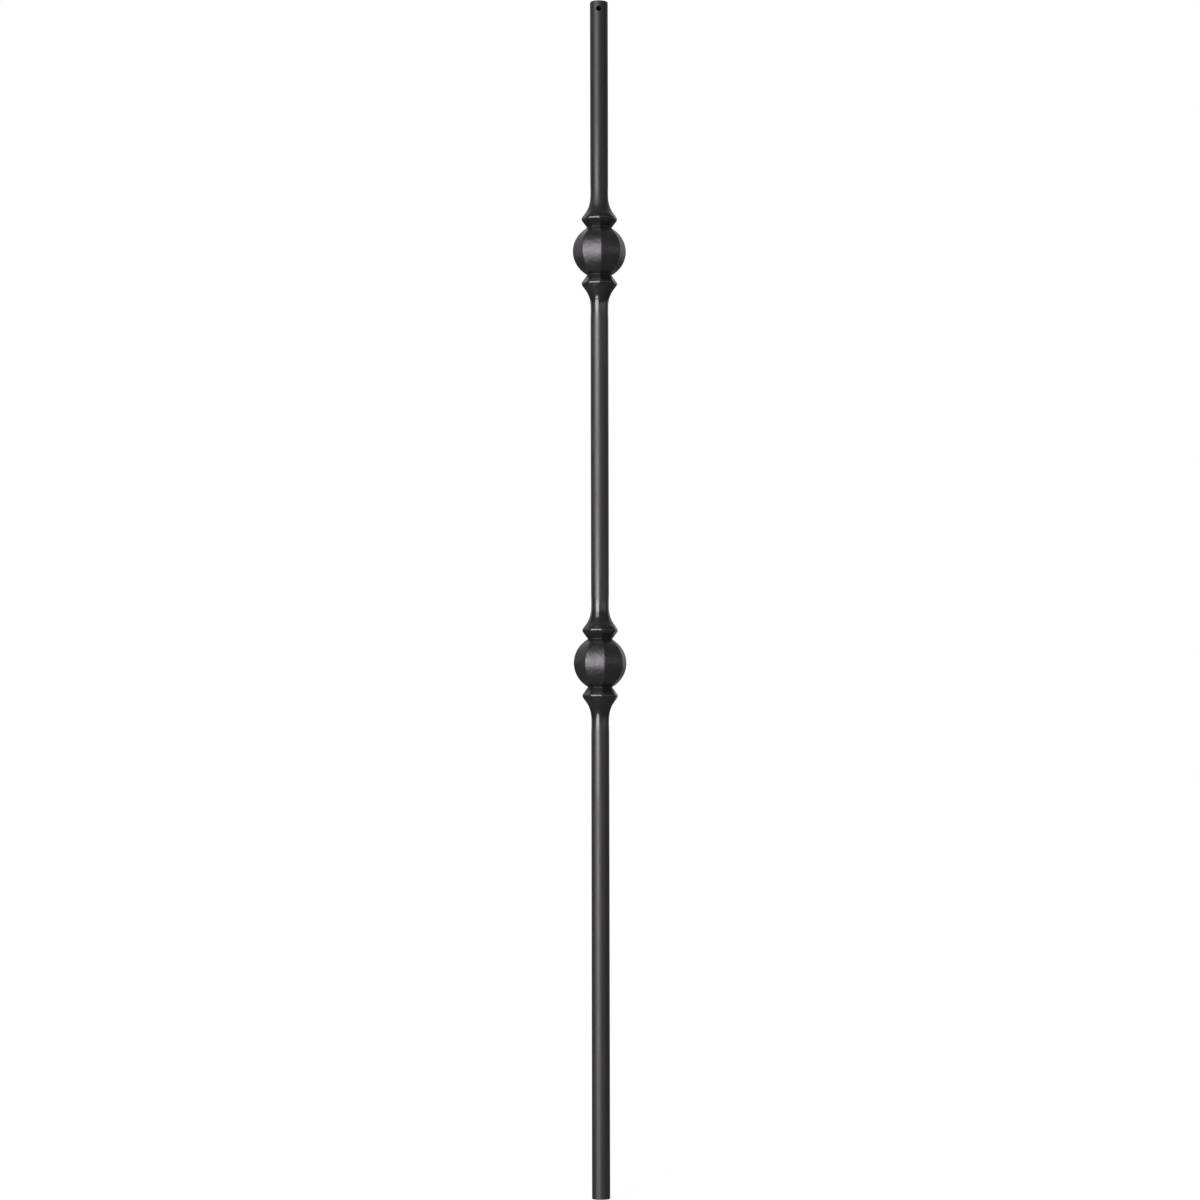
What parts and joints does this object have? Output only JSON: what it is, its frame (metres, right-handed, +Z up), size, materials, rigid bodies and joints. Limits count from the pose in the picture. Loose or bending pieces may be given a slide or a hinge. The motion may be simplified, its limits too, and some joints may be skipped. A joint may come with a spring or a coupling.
{
  "type": "iron stair baluster",
  "caption": "Slim round iron stair baluster: tube shafts joined end to end by faceted ball knuckles with flared collars, fixed by its foot and its top end.",
  "frame": {"origin": "centre of the foot, on the axis of the shaft", "axes": "+Z up along the shaft to the top end, -Y to the front, where the hanging hole is, +X to the right of the front"},
  "size_m": [0.0502, 0.0502, 1.1176],
  "materials": {
    "shaft_coat": "satin charcoal-black powder coat on drawn tube",
    "knuckle_coat": "satin charcoal-black powder coat on slightly mottled cast iron"
  },
  "bodies": {
    "root": {"bottom_shaft": "shaft_coat", "lower_knuckle": "knuckle_coat", "middle_shaft": "shaft_coat", "upper_knuckle": "knuckle_coat", "top_shaft": "shaft_coat"}
  },
  "joints": []
}
